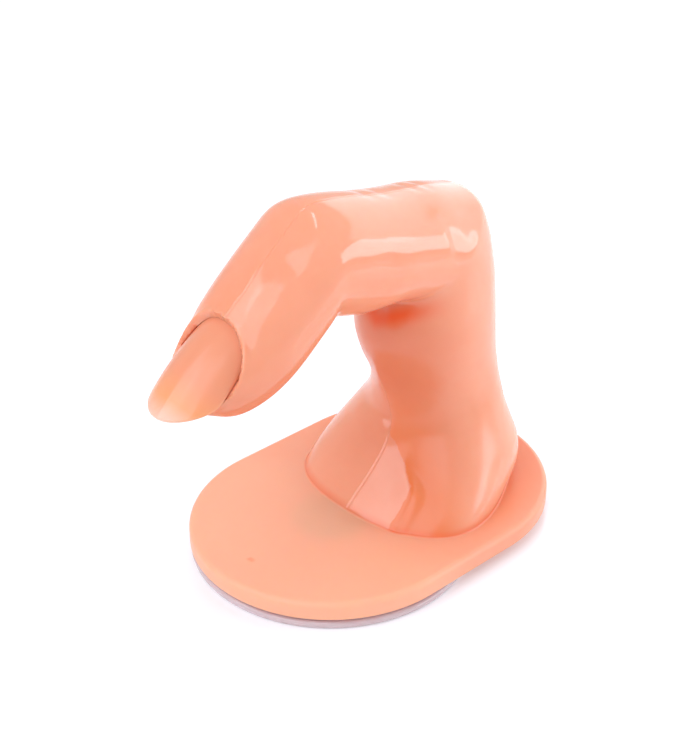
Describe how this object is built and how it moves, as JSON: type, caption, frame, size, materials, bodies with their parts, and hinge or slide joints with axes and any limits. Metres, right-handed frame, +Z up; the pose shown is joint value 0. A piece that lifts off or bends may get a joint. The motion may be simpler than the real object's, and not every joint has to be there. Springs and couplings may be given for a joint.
{
  "type": "nail practice finger",
  "caption": "Bent plastic practice finger on a flat base, with a slide-in nail tip and a suction cup underneath.",
  "frame": {"origin": "middle of the whole object's plan, on the surface that the suction cup stands on", "axes": "+Z up; the finger points along -X; the object is the same on both sides of the XZ plane"},
  "size_m": [0.0744, 0.046, 0.0623],
  "materials": {
    "skin_plastic": "glossy moulded skin-coloured plastic",
    "nail_plastic": "thin glossy milky nail plastic",
    "clear_vinyl": "soft clear vinyl, slightly cloudy"
  },
  "bodies": {
    "finger": {"finger_body": "skin_plastic"},
    "nail": {"nail_tip": "nail_plastic"},
    "cup": {"suction_cup": "clear_vinyl"}
  },
  "joints": [
    {"name": "nail_slide", "type": "slide", "parent": "finger", "child": "nail", "axis": [-0.8889, 0, -0.4581], "range_m": [0, 0.0024]},
    {"name": "cup_turn", "type": "hinge", "parent": "finger", "child": "cup", "pos_m": [-0.0038, 0, 0], "axis": [0, 0, 1], "continuous": true}
  ]
}
